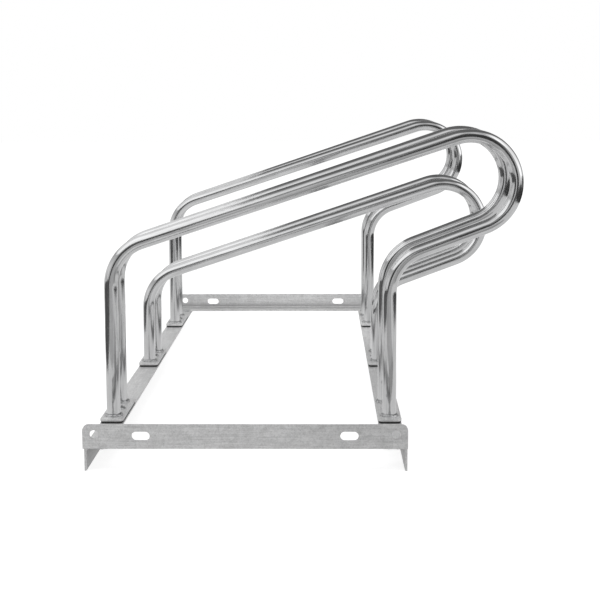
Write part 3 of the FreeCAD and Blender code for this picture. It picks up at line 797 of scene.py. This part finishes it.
class RACK_OT_bolts(bpy.types.Operator):
    """Make the carriage bolts with their threads and the hexagon nuts"""
    bl_idname = "rack.bolts"
    bl_label = "Bolts and nuts"

    def execute(self, context):
        settings = context.scene.rack_bolts
        for station in STATIONS:
            for side in SIDES:
                self.bolt(station, side, settings)
                self.nut(station, side, settings)
        return {"FINISHED"}

    def bolt(self, station, side, settings):
        node = f"carriage_bolt_{station}_{side}"
        low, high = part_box(node)
        seat = plate_top(station, side)
        length = seat.z - low.z
        bm = bmesh.new()
        bolt_head_and_core(bm, seat, (high.x - low.x) / 2, high.z - seat.z, length, settings)
        bolt_neck(bm, seat, settings)
        bolt_thread(bm, seat, length, settings)
        add_piece(f"{node}_turned", bm, finish_of("fastener_zinc"), [node],
                  smooth_below=32)

    def nut(self, station, side, settings):
        node = f"nut_{station}_{side}"
        size = node_size(node)
        bm = bmesh.new()
        hexagon_nut(bm, node_middle(node), size.y, size.z, settings.shank / 2 + 0.05 * MM,
                    settings)
        add_piece(f"{node}_cut", bm, finish_of("fastener_zinc"), [node],
                  smooth_below=18)


# ------------------------------------------------------------------------------- finish

class RackFinish(bpy.types.PropertyGroup):
    tube_colour: bpy.props.FloatVectorProperty(
        name="Tube colour", description="Bright zinc of the tubes", subtype="COLOR",
        default=(0.56, 0.562, 0.566), min=0, max=1)
    frame_colour: bpy.props.FloatVectorProperty(
        name="Frame colour", description="Galvanised angle and plates", subtype="COLOR",
        default=(0.62, 0.62, 0.622), min=0, max=1)
    weld_colour: bpy.props.FloatVectorProperty(
        name="Weld colour", description="Zinc on the weld beads", subtype="COLOR",
        default=(0.46, 0.463, 0.467), min=0, max=1)
    fastener_colour: bpy.props.FloatVectorProperty(
        name="Fastener colour", description="Plated bolts, washers and nuts", subtype="COLOR",
        default=(0.54, 0.543, 0.547), min=0, max=1)
    # Black of the sheet under the foot plates, which draws the black line beneath them.
    under_plate_black: bpy.props.FloatVectorProperty(
        name="Rubber colour", description="Pads under the foot plates", subtype="COLOR",
        default=(0.02, 0.02, 0.02), min=0, max=1)
    # How far the painted shade reaches out of the frame's inner corners.
    corner_shade_reach: bpy.props.FloatProperty(
        name="Corner reach", description="How far the zinc is duller out of an inner corner",
        default=14 * MM, unit="LENGTH")
    edge_radius: bpy.props.FloatProperty(
        name="Edge radius", description="How far the zinc rounds the edges of the frame",
        default=0.5 * MM, unit="LENGTH")


class RACK_OT_finish(bpy.types.Operator):
    """Give the rails, crossbars, plates, pads and washers their finish"""
    bl_idname = "rack.finish"
    bl_label = "Finish of the frame"

    def execute(self, context):
        slots = {part["node"]: part["material_slot"] for part in frame["record"]["subparts"]}
        for node, item in frame["nodes"].items():
            if item.hide_render:
                continue
            if node.startswith("crossbar"):
                material = finish_of(slots[node], "_across", along=STREAKS_ALONG_X)
            elif slots[node] == "frame_zinc":
                # The rails' painted corner shade reaches three times as far.
                material = finish_of(slots[node], "_along", along=STREAKS_ALONG_Y, reach=3)
            else:
                material = finish_of(slots[node])
            item.data.materials.clear()
            item.data.materials.append(material)
        return {"FINISHED"}


# ------------------------------------------------------------------------------- stage

# What shiny metal sees of the room besides its even grey: where a patch lies, the cosine of the
# angle to its edge and to its even core, and how much brighter or darker it is.
ROOM_PATCHES = (
    ("window on the left", (-0.85, -0.05, 0.5), 0.70, 0.92, 0.45),
    ("window on the right", (0.84, -0.20, 0.50), 0.78, 0.92, 1.25),
    ("panel over the camera, left", (-0.40, -0.55, 0.74), 0.88, 0.965, 0.62),
    ("panel over the camera, middle", (-0.08, -0.68, 0.73), 0.90, 0.97, 0.34),
    ("panel over the camera, right", (0.42, -0.48, 0.77), 0.90, 0.975, 0.50),
    ("pale wall behind the rack", (0, 1, 0.04), 0.95, 0.99, 0.6),
    ("dark corner on the left", (-1, 0, -0.04), 0.96, 0.99, -0.5),
)

# Cards that only shiny metal sees: lowest corner, highest corner and brightness.
CARDS = {
    "soft_box_front_left": ((-2.2, -2.2, 1.3), (-0.52, -0.2, 1.3), 1.55),
    "soft_box_rear_left": ((-2.2, -0.2, 1.3), (-0.52, 2.0, 1.3), 1.1),
    "dark_floor_left": ((-4.0, -3.0, 0.001), (-0.72, 0.2, 0.001), 0.12),
    "dark_floor_right": ((1.0, -3.0, 0.001), (4.0, 3.0, 0.001), 0.06),
    "grey_floor_in_front": ((-0.7, -2.2, 0.001), (0.5, -0.85, 0.001), 0.58),
    "grey_floor_by_the_right_post": ((0.0, -0.85, 0.001), (0.55, -0.6, 0.001), 0.42),
    "stand_left_of_the_camera": ((-1.5, -2.2, 0.05), (-0.45, -2.2, 0.8), 0.08),
    "stand_right_of_the_camera": ((0.1, -2.2, 0.02), (1.1, -2.2, 1.7), 0.07),
    "low_wall_right": ((2.5, -0.8, 0.0), (2.5, 3.0, 0.45), 0.2),
}

# Soft lamps: place, the point each is aimed at, its size and its power in watts.
LAMPS = {
    "soft_box_left": ((-1.6, -1.4, 1.6), (0, 0, 0.1), (1.0, 0.5), 11),
    "soft_box_right": ((1.8, -0.6, 1.2), (0, 0, 0.1), (0.5, 1.0), 4),
    "soft_box_in_front": ((0.2, -2.5, 0.9), (0, -0.5, 0.05), (1.4, 0.6), 4),
    "soft_box_over_the_rack": ((-0.35, -0.35, 1.0), (0, 0.5, 0.05), (0.8, 0.3), 2.2),
    "soft_box_at_the_rear_bar": ((0, 0.2, 0.25), (0, 0.5, 0.03), (0.3, 0.08), 0.5),
}


class RackStage(bpy.types.PropertyGroup):
    floor_colour: bpy.props.FloatVectorProperty(
        name="Floor colour", description="Pale studio floor", subtype="COLOR",
        default=(0.36, 0.36, 0.36), min=0, max=1)
    floor_glow: bpy.props.FloatProperty(
        name="Floor glow", description="White that the camera sees on the floor by itself",
        default=0.82, min=0, max=1)
    floor_mirror_glow: bpy.props.FloatProperty(
        name="Floor glow in metal", description="White that shiny metal sees on the floor",
        default=0.54, min=0, max=1)
    room_light: bpy.props.FloatProperty(
        name="Room light", description="Light from all round", default=0.78, min=0)
    room_grey: bpy.props.FloatProperty(
        name="Room grey", description="What shiny metal sees of the room near the floor",
        default=0.74, min=0)
    ceiling_grey: bpy.props.FloatProperty(
        name="Ceiling grey", description="What shiny metal sees of the ceiling", default=0.2,
        min=0)
    floor_reach: bpy.props.FloatProperty(
        name="Floor reach", description="From the rack's middle to the floor's edge", default=12,
        unit="LENGTH")
    floor_drop: bpy.props.FloatProperty(
        name="Floor drop", description="How far the floor lies under the rack",
        default=0.2 * MM, unit="LENGTH")
    lens: bpy.props.FloatProperty(
        name="Lens", description="Focal length of the camera in mm", default=75.59)
    lens_shift: bpy.props.FloatProperty(
        name="Lens shift", description="Upright shift that the framing needs", default=-0.08)
    camera_place: bpy.props.FloatVectorProperty(
        name="Camera place", description="Where the camera stands", subtype="TRANSLATION",
        default=(0.0138, -1.9825, 0.4418))
    camera_pitch: bpy.props.FloatProperty(
        name="Camera pitch", description="How far the camera looks down",
        default=math.radians(6.787), subtype="ANGLE")
    camera_yaw: bpy.props.FloatProperty(
        name="Camera yaw", description="How far the camera looks to the right",
        default=math.radians(-0.957), subtype="ANGLE")
    camera_roll: bpy.props.FloatProperty(
        name="Camera roll", description="How far the camera leans",
        default=math.radians(-0.217), subtype="ANGLE")


def studio_floor(scene, settings):
    bm = bmesh.new()
    bmesh.ops.create_grid(bm, x_segments=1, y_segments=1, size=settings.floor_reach,
                          matrix=Matrix.Translation(-UP * settings.floor_drop))
    mesh = bpy.data.meshes.new("studio_floor")
    bm.to_mesh(mesh)
    bm.free()
    floor = bpy.data.objects.new("studio_floor", mesh)
    scene.collection.objects.link(floor)
    finish = Finish("floor_white")
    finish.shader.inputs["Base Color"].default_value = (*settings.floor_colour, 1)
    finish.shader.inputs["Roughness"].default_value = 1.0
    finish.shader.inputs["Specular IOR Level"].default_value = 0.0
    finish.shader.inputs["Emission Color"].default_value = (1, 1, 1, 1)
    direct, glossy = finish.rays()
    glow = finish.math("ADD", finish.math("MULTIPLY", direct, settings.floor_glow),
                       finish.math("MULTIPLY", glossy, settings.floor_mirror_glow))
    finish.feed(glow, finish.shader.inputs["Emission Strength"])
    mesh.materials.append(finish.material)


def studio_room(scene, settings):
    """White for the camera, even light on the object, and grey with patches in the metal."""
    world = bpy.data.worlds.new("studio_room")
    scene.world = world
    world.use_nodes = True
    world.cycles.sampling_method = "NONE"
    wiring = Wiring(world.node_tree)
    towards = wiring.node("ShaderNodeTexCoord").outputs["Generated"]
    parts = wiring.node("ShaderNodeSeparateXYZ")
    wiring.feed(towards, parts.inputs["Vector"])
    mirror = wiring.spread(parts.outputs["Z"], 0.05, 0.45, settings.room_grey,
                           settings.ceiling_grey, soft=True)
    for _, place, edge, core, change in ROOM_PATCHES:
        facing = wiring.node("ShaderNodeVectorMath", operation="DOT_PRODUCT")
        wiring.feed(towards, facing.inputs[0])
        facing.inputs[1].default_value = Vector(place).normalized()
        patch = wiring.spread(facing.outputs["Value"], edge, core, 0, change, soft=True)
        mirror = wiring.math("ADD", patch, mirror)
    direct, glossy = wiring.rays()
    level = wiring.mix(glossy, wiring.mix(direct, settings.room_light, 1.0), mirror)
    back = world.node_tree.nodes["Background"]
    back.inputs["Color"].default_value = (1, 1, 1, 1)
    wiring.feed(level, back.inputs["Strength"])


def mirror_card(scene, name, low, high, glow):
    """Flat card that only shiny metal sees, lying in the plane in which it has no thickness."""
    low, high = Vector(low), Vector(high)
    size = high - low
    flat = min(range(3), key=lambda axis: size[axis])
    turn = Matrix() if flat == 2 else Matrix.Rotation(math.pi / 2, 4, "XY"[1 - flat])
    bm = bmesh.new()
    bmesh.ops.create_grid(bm, x_segments=1, y_segments=1, size=0.5, matrix=turn)
    bmesh.ops.scale(bm, vec=[length or 1 for length in size], verts=bm.verts)
    bmesh.ops.translate(bm, vec=(low + high) / 2, verts=bm.verts)
    mesh = bpy.data.meshes.new(name)
    bm.to_mesh(mesh)
    bm.free()
    card = bpy.data.objects.new(name, mesh)
    scene.collection.objects.link(card)
    for rays in ("camera", "diffuse", "transmission", "volume_scatter", "shadow"):
        setattr(card, f"visible_{rays}", False)
    finish = Finish(name)
    finish.paint((0, 0, 0, 1))
    finish.shader.inputs["Specular IOR Level"].default_value = 0.0
    finish.shader.inputs["Emission Color"].default_value = (1, 1, 1, 1)
    finish.shader.inputs["Emission Strength"].default_value = glow
    mesh.materials.append(finish.material)


def soft_lamp(scene, name, place, target, size, power):
    """Area lamp that lights the object but is seen by neither the camera nor shiny metal."""
    light = bpy.data.lights.new(name, "AREA")
    light.shape = "RECTANGLE"
    light.size, light.size_y = size
    light.energy = power
    item = bpy.data.objects.new(name, light)
    item.location = place
    aim = Vector(target) - Vector(place)
    item.rotation_euler = aim.to_track_quat("-Z", "Y").to_euler()
    item.visible_glossy = False
    item.visible_camera = False
    scene.collection.objects.link(item)


def photo_camera(scene, settings):
    camera = bpy.data.cameras.new("photo_camera")
    camera.lens = settings.lens
    camera.sensor_width = 36
    camera.shift_y = settings.lens_shift
    camera.clip_start, camera.clip_end = 0.05, 50
    item = bpy.data.objects.new("photo_camera", camera)
    item.matrix_world = (Matrix.Translation(settings.camera_place)
                         @ Matrix.Rotation(-settings.camera_yaw, 4, "Z")
                         @ Matrix.Rotation(math.pi / 2 - settings.camera_pitch, 4, "X")
                         @ Matrix.Rotation(settings.camera_roll, 4, "Z"))
    scene.collection.objects.link(item)
    scene.camera = item


class RACK_OT_stage(bpy.types.Operator):
    """Set the floor, the room light, the lamps and the camera"""
    bl_idname = "rack.stage"
    bl_label = "Studio"

    def execute(self, context):
        scene = context.scene
        settings = scene.rack_stage
        scene.view_settings.view_transform = "Standard"
        studio_floor(scene, settings)
        studio_room(scene, settings)
        for name, (low, high, glow) in CARDS.items():
            mirror_card(scene, name, low, high, glow)
        for name, (place, target, size, power) in LAMPS.items():
            soft_lamp(scene, name, place, target, size, power)
        photo_camera(scene, settings)
        return {"FINISHED"}


# ------------------------------------------------------------------------------- add-on

class RACK_PT_panel(bpy.types.Panel):
    """Sizes, colours and steps of the rack"""
    bl_label = "Floor bike rack"
    bl_idname = "RACK_PT_panel"
    bl_space_type = "VIEW_3D"
    bl_region_type = "UI"
    bl_category = "Bike rack"

    def draw(self, context):
        for group in GROUPS:
            box = self.layout.box()
            settings = getattr(context.scene, group)
            for name in GROUPS[group].__annotations__:
                box.prop(settings, name)
        for step in STEPS:
            self.layout.operator(f"rack.{step}")


GROUPS = {"rack_tubes": RackTubes, "rack_welds": RackWelds, "rack_bolts": RackBolts,
          "rack_finish": RackFinish, "rack_stage": RackStage}
STEPS = ("tubes", "welds", "bolts", "finish", "stage")
CLASSES = (*GROUPS.values(), RACK_OT_tubes, RACK_OT_welds, RACK_OT_bolts, RACK_OT_finish,
           RACK_OT_stage, RACK_PT_panel)


def register():
    for item in CLASSES:
        bpy.utils.register_class(item)
    for name, group in GROUPS.items():
        setattr(bpy.types.Scene, name, bpy.props.PointerProperty(type=group))


def unregister():
    for name in GROUPS:
        delattr(bpy.types.Scene, name)
    for item in reversed(CLASSES):
        bpy.utils.unregister_class(item)


def main():
    register()
    for step in STEPS:
        getattr(bpy.ops.rack, step)()


if __name__ == "__main__":
    main()
